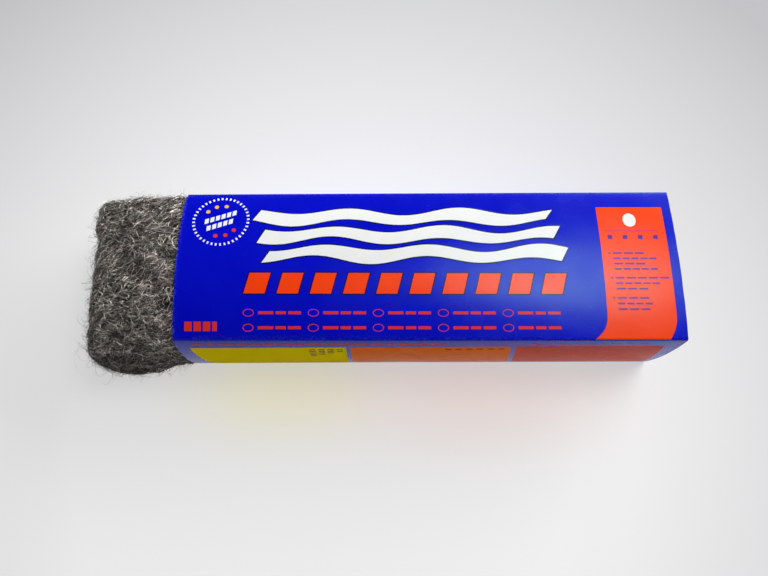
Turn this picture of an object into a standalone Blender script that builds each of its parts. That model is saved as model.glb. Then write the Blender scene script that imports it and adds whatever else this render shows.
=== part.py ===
"""A pad of coarse steel wool in its folded card sleeve.

Metres, +Z up. The origin is the centre of the sleeve's underside. +X runs along the sleeve, away
from the end where the wool sticks out, and +Y runs away from the near side panel.
"""

import math

import bmesh
import bpy
import numpy as np

# Card sleeve: one blank folded into four panels and glued along a lap inside the underside
SLEEVE_LENGTH = 0.250
SLEEVE_WIDTH = 0.0792
SLEEVE_HEIGHT = 0.0544
CARD_THICKNESS = 0.00045
FOLD_INNER_RADIUS = 0.0005
LAP_WIDTH = 0.015
LAP_SETBACK = 0.0012

# How far the packed wool bows the panels out, at the open mouth and at the other end
TOP_BOW_AT_MOUTH = 0.0064
TOP_BOW_AT_BACK = 0.0026
SIDE_BOW_AT_MOUTH = 0.0038
SIDE_BOW_AT_BACK = 0.0016

# Wool pad: a batt of long strands, folded on itself and pushed into the sleeve
WOOL_CLEARANCE = 0.0003
WOOL_FREE_LENGTH = 0.0487
WOOL_RECESS = 0.003
WOOL_CORNER_RADIUS = 0.0035
WOOL_END_RADIUS = 0.010
WOOL_END_SIDE_INSET = 0.006
WOOL_END_TOP_INSET = 0.014
WOOL_END_DOME = 0.0008
WOOL_BACK_RADIUS = 0.007
WOOL_FLOOR_GAP = 0.0003

# The free end loosens: it swells low down and settles at the top
NEAR_SWELL = 0.0055
FAR_SWELL = 0.0058
SWELL_LEVEL = 0.012
SWELL_SPREAD = 0.024
SWELL_RUN = 0.026
TOP_SETTLE = 0.006

# Tufts of the free end. Each wave has its lengths along x, y and z, 0 where it doesn't change, how
# far a second wave bends it, that wave's lengths, and its start, both in radians
TUFT_HEIGHT = 0.0017
TUFT_WAVES = (
    ((0.027, 0, 0), 1.3, (0, 0.038, 0.044), 0.0),
    ((0, 0.0145, 0.018), 1.1, (0.048, 0, 0), 0.0),
    ((0.0195, 0.0195, -0.0195), 0.0, (0, 0, 0), 2.0),
)
RELIEF_FADE = 0.008
BATT_LAYERS = 3
LAYER_GROOVE_DEPTH = 0.0020
LAYER_GROOVE_WIDTH = 0.0036
LAYER_SWAY = 0.0012

# Facets
CORNER_STEPS = 4
TOP_STEPS = 18
SIDE_STEPS = 12
SLEEVE_STATIONS = 15
WOOL_CORNER_STEPS = 5
WOOL_TOP_STEPS = 32
WOOL_SIDE_STEPS = 21
WOOL_FREE_STATIONS = 16
WOOL_HELD_STATIONS = 4
FREE_END_STEPS = 5
FREE_FACE_RINGS = 7
BACK_END_STEPS = 3
BACK_FACE_RINGS = 2

FOLD_OUTER_RADIUS = FOLD_INNER_RADIUS + CARD_THICKNESS
MOUTH_X = -SLEEVE_LENGTH / 2
BACK_X = SLEEVE_LENGTH / 2


def clear_scene():
    for obj in list(bpy.data.objects):
        bpy.data.objects.remove(obj, do_unlink=True)


def smooth_step(value):
    """0 below 0, 1 above 1, and an S-curve between."""
    value = np.clip(value, 0.0, 1.0)
    return value * value * (3 - 2 * value)


def quarter_turn(centre, radius, start_degrees, steps):
    """Points of a corner's arc, turning clockwise through a right angle."""
    angles = np.radians(np.linspace(start_degrees, start_degrees - 90, steps + 1))
    return np.column_stack(
        [centre[0] + radius * np.cos(angles), centre[1] + radius * np.sin(angles)]
    )


def straight(start, end, steps):
    """Points strictly between two ends."""
    share = np.linspace(0, 1, steps + 1)[1:-1, None]
    return start + (end - start) * share


def arch(half_width, low_near, low_far, high, radius, top_steps, side_steps, corner_steps):
    """Section points (y, z) up the near side, over the top and down the far side.

    It starts and ends where the two low corners meet the underside.
    """
    inner = half_width - radius
    corners = [
        quarter_turn((-inner, low_near + radius), radius, 270, corner_steps),
        quarter_turn((-inner, high - radius), radius, 180, corner_steps),
        quarter_turn((inner, high - radius), radius, 90, corner_steps),
        quarter_turn((inner, low_far + radius), radius, 0, corner_steps),
    ]
    pieces = [corners[0]]
    for before, after, steps in zip(corners, corners[1:], (side_steps, top_steps, side_steps)):
        pieces += [straight(before[-1], after[0], steps), after]
    return np.vstack(pieces)


def panel_bows(x):
    """How far the top and the side panels stand out at x."""
    along = np.clip((x - MOUTH_X) / SLEEVE_LENGTH, 0, 1)
    top = TOP_BOW_AT_MOUTH + (TOP_BOW_AT_BACK - TOP_BOW_AT_MOUTH) * along
    side = SIDE_BOW_AT_MOUTH + (SIDE_BOW_AT_BACK - SIDE_BOW_AT_MOUTH) * along
    return top, side


def drawn_in(panel_width, bow):
    """Share by which two folds come closer when the panel between them bows.

    Card doesn't stretch, so the arc keeps the panel's width: arc = chord (1 + 8/3 (bow/chord)^2).
    """
    return 8 / 3 * (bow / panel_width) ** 2


def bowed(points, x):
    """Moves the points of a flat-sided section to where they lie with the panels bowed at x."""
    top_bow, side_bow = panel_bows(x)
    y, z = points.T
    across = 2 * y / SLEEVE_WIDTH
    up = z / SLEEVE_HEIGHT
    narrower = 1 - drawn_in(SLEEVE_WIDTH, top_bow) * up
    lower = 1 - drawn_in(SLEEVE_HEIGHT, side_bow)
    new_y = y * narrower + side_bow * across * (1 - (2 * up - 1) ** 2)
    new_z = z * lower + top_bow * up * (1 - across**2)
    return np.column_stack([new_y, new_z])


def sleeve_loops(x):
    """The sleeve's outer and inner section at x, point for point.

    The far wall's lower fold turns in on top of the underside as the glued lap, so the wall is two
    cards thick from the lap's free edge to the underside's free edge.
    """
    half = SLEEVE_WIDTH / 2
    card = CARD_THICKNESS
    under_edge = half - FOLD_OUTER_RADIUS - LAP_SETBACK
    lap_edge = half - FOLD_OUTER_RADIUS - LAP_WIDTH
    steps = (TOP_STEPS, SIDE_STEPS, CORNER_STEPS)
    outer = arch(half, 0, card, SLEEVE_HEIGHT, FOLD_OUTER_RADIUS, *steps)
    inner = arch(half - card, card, 2 * card, SLEEVE_HEIGHT - card, FOLD_INNER_RADIUS, *steps)
    outer = np.vstack([bowed(outer, x), [(under_edge, card), (under_edge, 0)]])
    inner = np.vstack([bowed(inner, x), [(lap_edge, 2 * card), (lap_edge, card)]])
    return outer, inner


def ring_of(bm, x, points):
    x = np.broadcast_to(x, len(points))
    return [bm.verts.new((px, y, z)) for px, (y, z) in zip(x, points)]


def skin(bm, rings):
    """Quads between each ring and the next."""
    for ring, after in zip(rings, rings[1:]):
        for i in range(len(ring)):
            j = (i + 1) % len(ring)
            bm.faces.new((ring[i], ring[j], after[j], after[i]))


def cap_with_fan(bm, ring, centre):
    tip = bm.verts.new(centre)
    for i in range(len(ring)):
        bm.faces.new((ring[i], ring[(i + 1) % len(ring)], tip))


def object_from(bm, name, material, sharp_degrees):
    bmesh.ops.recalc_face_normals(bm, faces=bm.faces)
    mesh = bpy.data.meshes.new(name)
    bm.to_mesh(mesh)
    bm.free()
    mesh.shade_smooth()
    mesh.set_sharp_from_angle(angle=math.radians(sharp_degrees))
    mesh.materials.append(material)
    obj = bpy.data.objects.new(name, mesh)
    bpy.context.scene.collection.objects.link(obj)
    return obj


def principled(name, colour, roughness, metallic, coat=0.0):
    material = bpy.data.materials.new(name)
    material.use_nodes = True
    shader = material.node_tree.nodes["Principled BSDF"]
    shader.inputs["Base Color"].default_value = (*colour, 1)
    shader.inputs["Roughness"].default_value = roughness
    shader.inputs["Metallic"].default_value = metallic
    shader.inputs["Coat Weight"].default_value = coat
    material.diffuse_color = (*colour, 1)
    return material


def make_card_sleeve():
    """The folded card: an open tube with a lap seam, its panels bowed by the wool."""
    bm = bmesh.new()
    outer_rings, inner_rings = [], []
    for x in np.linspace(MOUTH_X, BACK_X, SLEEVE_STATIONS):
        outer, inner = sleeve_loops(x)
        outer_rings.append(ring_of(bm, x, outer))
        inner_rings.append(ring_of(bm, x, inner))
    skin(bm, outer_rings)
    skin(bm, inner_rings)
    for end in (0, -1):
        skin(bm, [outer_rings[end], inner_rings[end]])
    card = principled("varnished_card", (0.002, 0.004, 0.42), 0.28, 0.0, coat=0.4)
    return object_from(bm, "card_sleeve", card, 50)


def wool_section(x):
    """The pad's smooth section at x: inside the sleeve it keeps a clearance to the card."""
    gap = CARD_THICKNESS + WOOL_CLEARANCE
    half = SLEEVE_WIDTH / 2 - gap
    low = CARD_THICKNESS + gap
    steps = (WOOL_TOP_STEPS, WOOL_SIDE_STEPS, WOOL_CORNER_STEPS)
    over = arch(half, low, low, SLEEVE_HEIGHT - gap, WOOL_CORNER_RADIUS, *steps)
    under = straight(over[-1], over[0], WOOL_TOP_STEPS)
    y, z = bowed(np.vstack([over, under]), x).T
    out = max(0.0, MOUTH_X - x)
    loose = smooth_step(out / SWELL_RUN)
    swell = np.where(y < 0, -NEAR_SWELL, FAR_SWELL) * np.minimum(np.abs(2 * y / SLEEVE_WIDTH), 1)
    new_y = y + loose * swell * np.exp(-(((z - SWELL_LEVEL) / SWELL_SPREAD) ** 2))
    share_up = (z - low) / (SLEEVE_HEIGHT - low)
    settle = TOP_SETTLE * out / WOOL_FREE_LENGTH
    new_z = z - settle * share_up**2 - loose * (low - WOOL_FLOOR_GAP) * (1 - share_up)
    return np.column_stack([new_y, new_z])


def section_normals(section):
    """Outward directions (y, z) of a closed section that runs clockwise."""
    along = np.roll(section, -1, axis=0) - np.roll(section, 1, axis=0)
    normals = np.column_stack([-along[:, 1], along[:, 0]])
    return normals / np.linalg.norm(normals, axis=1, keepdims=True)


def turns_of(lengths, *position):
    """How far a plane wave has turned at a position, from its lengths along x, y and z."""
    turns = 0.0
    for length, value in zip(lengths, position):
        if length:
            turns = turns + 2 * math.pi * value / length
    return turns


def tufts(x, y, z):
    """Height of the soft lumps that the strands gather in: the mean of a few bent waves."""
    height = 0.0
    for lengths, bend, bend_lengths, start in TUFT_WAVES:
        bent = bend * np.sin(turns_of(bend_lengths, x, y, z))
        height = height + np.sin(turns_of(lengths, x, y, z) + bent + start)
    return TUFT_HEIGHT * height / len(TUFT_WAVES)


def layer_grooves(y, z):
    """The folds of the batt: soft grooves a layer apart in height, which wander a little."""
    depth = np.zeros_like(z)
    for layer in range(1, BATT_LAYERS):
        wander = LAYER_SWAY * np.sin(2 * np.pi * y / SLEEVE_WIDTH + layer)
        level = SLEEVE_HEIGHT * layer / BATT_LAYERS + wander
        depth += LAYER_GROOVE_DEPTH * np.exp(-(((z - level) / LAYER_GROOVE_WIDTH) ** 2))
    return depth


def wool_ring(x, inset, lean, shrink=1.0):
    """Points (x, y, z) of one ring with its relief.

    inset is the share of the way in to the end face, and lean the angle from the side's normal to
    the end's. shrink draws a ring of the end face towards its middle.
    """
    section = wool_section(x)
    normals = section_normals(section)
    low, high = section.min(axis=0), section.max(axis=0)
    centre, half = (low + high) / 2, (high - low) / 2
    at_free_end = np.array([WOOL_END_SIDE_INSET, WOOL_END_TOP_INSET])
    drawn = at_free_end if x < MOUTH_X else WOOL_BACK_RADIUS
    ring = centre + (section - centre) * (1 - inset * drawn / half) * shrink
    relief = tufts(x, *ring.T) - layer_grooves(*ring.T)
    relief = relief * smooth_step((MOUTH_X - x) / RELIEF_FADE)
    ring = ring + normals * (relief * math.cos(lean))[:, None]
    ring[:, 1] = np.maximum(ring[:, 1], WOOL_FLOOR_GAP)
    return np.column_stack([x - relief * math.sin(lean), ring])


def rounded_end(face_x, radius, side, steps, face_rings):
    """Rings from the rounded edge's start in to the middle of the end face.

    side is -1 at the free end and 1 at the back.
    """
    rings = []
    for angle in np.radians(np.linspace(0, 90, steps + 1))[1:]:
        x = face_x - side * radius * (1 - math.sin(angle))
        rings.append(wool_ring(x, 1 - math.cos(angle), -side * angle))
    for shrink in np.linspace(1, 0, face_rings + 2)[1:-1]:
        dome = side * WOOL_END_DOME * (1 - shrink**2)
        rings.append(wool_ring(face_x, 1, -side * math.pi / 2, shrink) + (dome, 0, 0))
    return rings


def make_wool_pad():
    """The folded batt: one soft solid, held in the sleeve and loose at its free end."""
    bm = bmesh.new()
    free_x = MOUTH_X - WOOL_FREE_LENGTH
    back_x = BACK_X - WOOL_RECESS
    loose = np.linspace(free_x + WOOL_END_RADIUS, MOUTH_X, WOOL_FREE_STATIONS + 1)
    held = np.linspace(MOUTH_X, back_x - WOOL_BACK_RADIUS, WOOL_HELD_STATIONS + 1)[1:]
    free_end = rounded_end(free_x, WOOL_END_RADIUS, -1, FREE_END_STEPS, FREE_FACE_RINGS)
    back_end = rounded_end(back_x, WOOL_BACK_RADIUS, 1, BACK_END_STEPS, BACK_FACE_RINGS)
    middle = [wool_ring(x, 0, 0) for x in (*loose, *held)]
    rings = free_end[::-1] + middle + back_end
    verts = [ring_of(bm, ring[:, 0], ring[:, 1:]) for ring in rings]
    skin(bm, verts)
    cap_with_fan(bm, verts[0], rings[0].mean(axis=0))
    cap_with_fan(bm, verts[-1], rings[-1].mean(axis=0))
    wool = principled("steel_wool", (0.09, 0.085, 0.08), 0.5, 0.8)
    return object_from(bm, "wool_pad", wool, 60)


def main():
    clear_scene()
    make_card_sleeve()
    make_wool_pad()


if __name__ == "__main__":
    main()
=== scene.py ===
"""The looks of a steel wool pad in its printed card sleeve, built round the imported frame.

Metres, +Z up. The origin is the centre of the sleeve's underside, +X runs along the sleeve away from
the end where the wool sticks out, and +Y runs away from the near side panel.
"""

import math

import bpy
import numpy as np
from bpy.props import FloatProperty, FloatVectorProperty, IntProperty, PointerProperty
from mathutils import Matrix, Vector


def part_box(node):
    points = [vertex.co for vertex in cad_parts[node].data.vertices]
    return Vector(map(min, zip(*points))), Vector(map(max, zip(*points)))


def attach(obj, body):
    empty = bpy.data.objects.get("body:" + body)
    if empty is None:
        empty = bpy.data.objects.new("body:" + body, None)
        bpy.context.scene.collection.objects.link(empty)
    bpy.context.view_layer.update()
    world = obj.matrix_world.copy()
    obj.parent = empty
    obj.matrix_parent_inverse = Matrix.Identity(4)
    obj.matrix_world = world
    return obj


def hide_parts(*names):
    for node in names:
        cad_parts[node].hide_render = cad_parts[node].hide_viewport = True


bl_info = {
    "name": "Steel Wool Pad",
    "version": (1, 0, 0),
    "blender": (4, 5, 0),
    "location": "View3D > Sidebar > Steel Wool Pad",
    "description": "Builds a pad of coarse steel wool in its printed, folded card sleeve",
    "category": "Object",
}

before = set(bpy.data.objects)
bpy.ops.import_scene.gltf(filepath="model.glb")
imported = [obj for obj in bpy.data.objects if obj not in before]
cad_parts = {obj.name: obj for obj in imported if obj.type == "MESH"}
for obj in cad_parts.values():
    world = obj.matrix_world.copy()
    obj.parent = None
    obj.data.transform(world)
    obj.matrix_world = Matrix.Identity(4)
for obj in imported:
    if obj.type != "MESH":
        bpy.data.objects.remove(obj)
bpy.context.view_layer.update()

MM = 0.001

# Card sleeve, as the frame's solid has it
SLEEVE_LOW, SLEEVE_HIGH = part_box("card_sleeve")
MOUTH_X = SLEEVE_LOW[0]
BACK_X = SLEEVE_HIGH[0]
SLEEVE_LENGTH = BACK_X - MOUTH_X
SLEEVE_WIDTH = 79.2 * MM
SLEEVE_HEIGHT = 54.4 * MM
CARD = 0.45 * MM
FOLD_RADIUS = 0.95 * MM
LAP_WIDTH = 15 * MM
LAP_SETBACK = 1.2 * MM
TOP_BOWS = (6.4 * MM, 2.6 * MM)
SIDE_BOWS = (3.8 * MM, 1.6 * MM)

# What the print and the wear add to the card
PRINT_EDGE = 0.6 * MM
PRINT_GLOSS = 0.24
SIDE_GLOSS = 0.01
PRINT_RIM_ANGLE = 15
CUT_WANDERS = ((0.1 * MM, 40, 0), (0.06 * MM, 97, 1))
CUT_REACH = 9 * MM
CORNER_NIP = 1.1 * MM
NIP_REACH = 1.4 * MM
MOUTH_RUB = 6.5
RUB_REACH = 0.4 * MM
FOLD_RUB_REACH = 1.6 * MM

# Wool pad, as the frame's solid has it
WOOL_GAP = CARD + 0.3 * MM
WOOL_LOW = CARD + WOOL_GAP
WOOL_HIGH = SLEEVE_HEIGHT - WOOL_GAP
WOOL_HALF = SLEEVE_WIDTH / 2 - WOOL_GAP
FREE_X = MOUTH_X - 48.7 * MM
WOOL_BACK_X = BACK_X - 3 * MM
FREE_RADII = np.array([10, 6, 14]) * MM
BACK_RADII = np.array([7, 7, 7]) * MM
EDGE_POWER = 6
FLOOR_GAP = 0.3 * MM
NEAR_SWELL = 5.5 * MM
FAR_SWELL = 5.8 * MM
SWELL_LEVEL = 12 * MM
SWELL_SPREAD = 24 * MM
SWELL_RUN = 26 * MM
TOP_SETTLE = 6 * MM
BATT_LAYERS = 3
GROOVE_DEPTH = 2 * MM
GROOVE_WIDTH = 3.6 * MM
LAYER_SWAY = 1.2 * MM
TUFT_HEIGHT = 1.7 * MM

# What the strands make of it
TUFT_SHOWN = 0.6
MOUTH_PUFF = 2.2 * MM
PUFF_OUT = 11 * MM
END_DRIFT = 1.7 * MM
END_PULL = 1.6 * MM
END_FAR = 1.9 * MM
END_FOOT = 7.2 * MM
END_TUCK = 3 * MM
CRIMP = 0.4 * MM
TIP_DIP = 0.8 * MM
# painted shade: strands lower down and towards the near side are darker
LOW_SHADE = 0.82
SHADE_REACH = 44 * MM
FREE_RINGS = 9
BACK_RINGS = 7

# Shares of the free end's top, near, far, end and under faces
STRAND_SHARES = (0.36, 0.19, 0.15, 0.20, 0.10)
WHISKER_SHARES = (0.24, 0.19, 0.19, 0.33, 0.05)

# Stage: the floor's centre and fade paint a pool of light, and its casts paint bounce light and are (tint,
# middle, 1 / reach); lamps are (name, size, power, distance, way)
FLOOR_CENTRE = (-0.055, -0.07, 0)
FLOOR_FADE = (0.14, 0.385)
PAINTED_BOUNCE_CASTS = (
    ((1, 0.96, 0.77, 1), (-0.082, -0.055, 0), (12, 22, 0)),
    ((1, 0.9, 0.87, 1), (0.03, -0.058, 0), (8, 20, 0)),
)
LAMPS = (
    ("soft_lamp", (0.45, 0.45), "lamp_power", 1.1, (0.291, 0.239, 0.928)),
    ("low_lamp", (6, 2.25), "low_power", 4.5, (0.69, 0.61, 0.39)),
)
SHEEN_PLACE = np.array((65, -20, 57)) * MM
CAMERA_PLACE = (-22.55 * MM, -106.95 * MM, 354.17 * MM)
CAMERA_TURN = (math.radians(17.444), 0, math.radians(-0.131))
CAMERA_LENS = 29.71


def smooth_step(value):
    """0 below 0, 1 above 1, and an S-curve between."""
    value = np.clip(value, 0, 1)
    return value * value * (3 - 2 * value)


def bowed(x, y, z):
    """Where a flat-sided sleeve's point lies once the wool has bowed the panels out.

    The bows shrink evenly from the mouth to the other end. A bowed panel draws its two folds closer
    by 8/3 (bow / width) squared, because card doesn't stretch.
    """
    along = np.clip((x - MOUTH_X) / SLEEVE_LENGTH, 0, 1)
    top = TOP_BOWS[0] + (TOP_BOWS[1] - TOP_BOWS[0]) * along
    side = SIDE_BOWS[0] + (SIDE_BOWS[1] - SIDE_BOWS[0]) * along
    across, up = 2 * y / SLEEVE_WIDTH, z / SLEEVE_HEIGHT
    narrower = 1 - 8 / 3 * (top / SLEEVE_WIDTH) ** 2 * up
    lower = 1 - 8 / 3 * (side / SLEEVE_HEIGHT) ** 2
    new_y = y * narrower + side * across * (1 - (2 * up - 1) ** 2)
    return new_y, z * lower + top * up * (1 - across**2)


# Meshes from arrays


def grid_faces(rows, columns, start=0):
    """Quads between the points of a grid whose last column joins the first."""
    index = np.arange(rows * columns).reshape(rows, columns) + start
    return corners_of(np.column_stack([index, index[:, 0]]))


def corners_of(grid):
    """The four corner values of each cell of a grid, as (cell, corner, ...)."""
    cells = np.stack([grid[:-1, :-1], grid[:-1, 1:], grid[1:, 1:], grid[1:, :-1]], axis=2)
    return cells.reshape(-1, 4, *grid.shape[2:])


def mesh_piece(
    name, points, faces, uvs=None, materials=(), slots=None, attributes=None, sharp=None
):
    """A new object from arrays: points, and faces as a list of arrays of like-sided faces.

    uvs has one array of corner coordinates for each array of faces, slots one material number.
    attributes gives each named value of the points.
    """
    loops = np.concatenate([part.ravel() for part in faces]).astype(np.int32)
    sizes = np.concatenate([np.full(len(part), part.shape[1]) for part in faces])
    mesh = bpy.data.meshes.new(name)
    mesh.vertices.add(len(points))
    mesh.vertices.foreach_set("co", points.astype(np.float32).ravel())
    mesh.loops.add(len(loops))
    mesh.loops.foreach_set("vertex_index", loops)
    mesh.polygons.add(len(sizes))
    mesh.polygons.foreach_set("loop_start", (np.cumsum(sizes) - sizes).astype(np.int32))
    for material in materials:
        mesh.materials.append(material)
    if slots is not None:
        numbers = np.concatenate([np.full(len(part), slot) for part, slot in zip(faces, slots)])
        mesh.polygons.foreach_set("material_index", numbers.astype(np.int32))
    mesh.update(calc_edges=True)
    if uvs is not None:
        flat = np.concatenate([part.reshape(-1, 2) for part in uvs]).astype(np.float32)
        mesh.uv_layers.new(name="OFBake").uv.foreach_set("vector", flat.ravel())
    for label, values in (attributes or {}).items():
        layer = mesh.attributes.new(label, "FLOAT", "POINT")
        layer.data.foreach_set("value", values.astype(np.float32).ravel())
    mesh.shade_smooth()
    if sharp is not None:
        mesh.set_sharp_from_angle(angle=math.radians(sharp))
    piece = bpy.data.objects.new(name, mesh)
    bpy.context.scene.collection.objects.link(piece)
    return piece


# Shader nodes


def put(tree, kind, inputs=None, **settings):
    """Adds a node. An input that is given a socket is linked, and any other takes its value."""
    made = tree.nodes.new("ShaderNode" + kind)
    for name, value in settings.items():
        setattr(made, name, value)
    for name, value in (inputs or {}).items():
        if isinstance(value, bpy.types.NodeSocket):
            tree.links.new(value, made.inputs[name])
        else:
            made.inputs[name].default_value = value
    return made


def own_place(tree):
    """The point's Object coordinates."""
    return put(tree, "TexCoord").outputs["Object"]


def mix_colour(tree, factor, first, second):
    return put(tree, "Mix", {0: factor, 6: first, 7: second}, data_type="RGBA").outputs[2]


def tinted(tree, colour, tint):
    """The colour multiplied by another, or by a value."""
    inputs = {0: 1.0, 6: colour, 7: tint}
    return put(tree, "Mix", inputs, data_type="RGBA", blend_type="MULTIPLY").outputs[2]


def combined(tree, operation, first, second):
    """Two values joined by a Math node's operation."""
    return put(tree, "Math", {0: first, 1: second}, operation=operation).outputs[0]


def scaled(tree, value, low, high, start=0.0, end=1.0):
    """The value carried from start..end to low..high."""
    limits = {"Value": value, "From Min": start, "From Max": end, "To Min": low, "To Max": high}
    return put(tree, "MapRange", limits).outputs["Result"]


def noise(tree, place, scale, detail, roughness=0.5):
    """A noise pattern's value at the place."""
    inputs = {"Vector": place, "Scale": scale, "Detail": detail, "Roughness": roughness}
    return put(tree, "TexNoise", inputs).outputs["Fac"]


def new_group(name, inputs, outputs):
    """An empty shader group with its named sockets: (tree, its inputs' sockets, its output node)."""
    tree = bpy.data.node_groups.new(name, "ShaderNodeTree")
    for label, kind, value in inputs:
        tree.interface.new_socket(label, in_out="INPUT", socket_type=kind).default_value = value
    for label, kind in outputs:
        tree.interface.new_socket(label, in_out="OUTPUT", socket_type=kind)
    entry = tree.nodes.new("NodeGroupInput")
    return tree, entry.outputs, tree.nodes.new("NodeGroupOutput")


def printed_finish():
    """Shader group of a printed, varnished card: mottled ink, rubbed folds and orange peel."""
    name = "Printed finish"
    if name in bpy.data.node_groups:
        return bpy.data.node_groups[name]
    inputs = [
        ("Ink", "NodeSocketColor", (0.5, 0.5, 0.5, 1)),
        ("Rubbed", "NodeSocketColor", (0.5, 0.5, 0.5, 1)),
        ("Wear", "NodeSocketFloat", 0.5),
    ]
    outputs = [
        ("Colour", "NodeSocketColor"),
        ("Roughness", "NodeSocketFloat"),
        ("Normal", "NodeSocketVector"),
    ]
    tree, given, result = new_group(name, inputs, outputs)
    place = own_place(tree)
    fold = put(tree, "Attribute", attribute_name="fold").outputs["Fac"]
    mottle = noise(tree, place, 90, 3, 0.6)
    toned = tinted(tree, given["Ink"], scaled(tree, mottle, 0.96, 1.04, 0.1, 0.9))
    grain = noise(tree, place, 900, 4, 0.7)
    worn = combined(tree, "MULTIPLY", scaled(tree, grain, 0, 1, 0.5, 0.62), fold)
    worn = combined(tree, "MULTIPLY", worn, given["Wear"])
    colour = mix_colour(tree, worn, toned, given["Rubbed"])
    roughness = scaled(tree, noise(tree, place, 45, 2), 0.23, 0.31, 0.3, 0.7)
    peel = noise(tree, place, 1400, 2)
    wave = noise(tree, place, 60, 1)
    fine = put(tree, "Bump", {"Strength": 0.12, "Distance": 0.03 * MM, "Height": peel})
    broad = {"Strength": 0.25, "Distance": 0.5 * MM, "Height": wave, "Normal": fine.outputs[0]}
    normal = put(tree, "Bump", broad).outputs[0]
    connect(tree, result, Colour=colour, Roughness=roughness, Normal=normal)
    return tree


def new_material(name):
    material = bpy.data.materials.new(name)
    material.use_nodes = True
    return material, material.node_tree, material.node_tree.nodes["Principled BSDF"]


def connect(tree, node, **sockets):
    """Links each socket to the node's input of that name, with spaces for underscores."""
    for name, socket in sockets.items():
        tree.links.new(socket, node.inputs[name.replace("_", " ")])


def ink(name, colour, wear=0.5, gloss=PRINT_GLOSS):
    """A printed ink under the card's varnish, which mirrors by its gloss."""
    material, tree, shader = new_material(name)
    rubbed = [0.55 * value + 0.25 for value in colour]
    finish = tree.nodes.new("ShaderNodeGroup")
    finish.node_tree = printed_finish()
    finish.inputs["Ink"].default_value = (*colour, 1)
    finish.inputs["Rubbed"].default_value = (*rubbed, 1)
    finish.inputs["Wear"].default_value = wear
    out = finish.outputs
    connect(tree, shader, Base_Color=out["Colour"], Roughness=out["Roughness"], Normal=out["Normal"])
    shader.inputs["Specular IOR Level"].default_value = gloss
    shader.inputs["Specular Tint"].default_value = (0.62, 1, 1, 1)
    return material


def raw_card(colour):
    """The unprinted side and the cut edges: pale fibre board with darker flecks."""
    material, tree, shader = new_material("raw_card")
    place = own_place(tree)
    cloud = noise(tree, place, 160, 5, 0.7)
    fleck = scaled(tree, noise(tree, place, 1500, 2), 0, 0.5, 0.62, 0.75)
    light = [min(value * 1.12, 1) for value in colour]
    dark = [value * 0.6 for value in colour]
    base = mix_colour(tree, cloud, (*colour, 1), (*light, 1))
    base = mix_colour(tree, fleck, base, (*dark, 1))
    bump = put(tree, "Bump", {"Strength": 0.3, "Distance": 0.05 * MM, "Height": cloud}).outputs[0]
    connect(tree, shader, Base_Color=base, Normal=bump)
    shader.inputs["Roughness"].default_value = 0.85
    return material


def steel(name, dark, light, metallic, roughness):
    """Steel strands: each has its own tone and painted glints along its length, and patches are warmer."""
    material, tree, shader = new_material(name)
    tone = put(tree, "Attribute", attribute_name="tone").outputs["Fac"]
    place = own_place(tree)
    own = scaled(tree, tone, 0, 60)
    # painted highlight: bright stretches along each strand stand for where it catches the light
    stretch = {"Vector": place, "W": own, "Scale": 380, "Detail": 1.5, "Roughness": 0.5}
    glint = put(tree, "TexNoise", stretch, noise_dimensions="4D").outputs["Fac"]
    patch = scaled(tree, noise(tree, place, 65, 2), 0, 1, 0.35, 0.65)
    warmth = mix_colour(tree, patch, (0.98, 0.99, 0.93, 1), (1.05, 0.97, 0.97, 1))
    base = mix_colour(tree, tone, (*dark, 1), (*light, 1))
    base = tinted(tree, base, scaled(tree, glint, 0.3, 1.9, 0.36, 0.64))
    base = tinted(tree, base, warmth)
    rough = scaled(tree, glint, roughness + 0.1, roughness - 0.1, 0.3, 0.7)
    connect(tree, shader, Base_Color=base, Roughness=rough)
    shader.inputs["Metallic"].default_value = metallic
    return material


# Card sleeve


def arch(half, low_near, low_far, high, radius):
    """A sleeve section's points (y, z): up the near side, over the top, down the far side.

    Three straight runs joined by arcs of the radius, which also turn in at the two low corners.
    """
    inner = half - radius
    sides = [low_near + radius, high - radius, high - radius, low_far + radius]
    centres = list(zip((-inner, -inner, inner, inner), sides))
    arcs = []
    for centre, start in zip(centres, (270, 180, 90, 0)):
        turn = np.radians(np.linspace(start, start - 90, 9))[:, None]
        arcs.append(centre + radius * np.hstack([np.cos(turn), np.sin(turn)]))
    section = [arcs[0]]
    for before, after, steps in zip(arcs, arcs[1:], (24, 40, 24)):
        share = np.linspace(0, 1, steps + 1)[1:-1, None]
        section += [before[-1] + (after[0] - before[-1]) * share, after]
    return np.vstack(section)


def fold_nearness(y, z):
    """1 at the sleeve's two top folds, fading to 0 within a few millimetres."""
    top_fold = np.hypot(np.abs(y) - SLEEVE_WIDTH / 2, z - SLEEVE_HEIGHT)
    return np.exp(-((top_fold / FOLD_RUB_REACH) ** 2))


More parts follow.
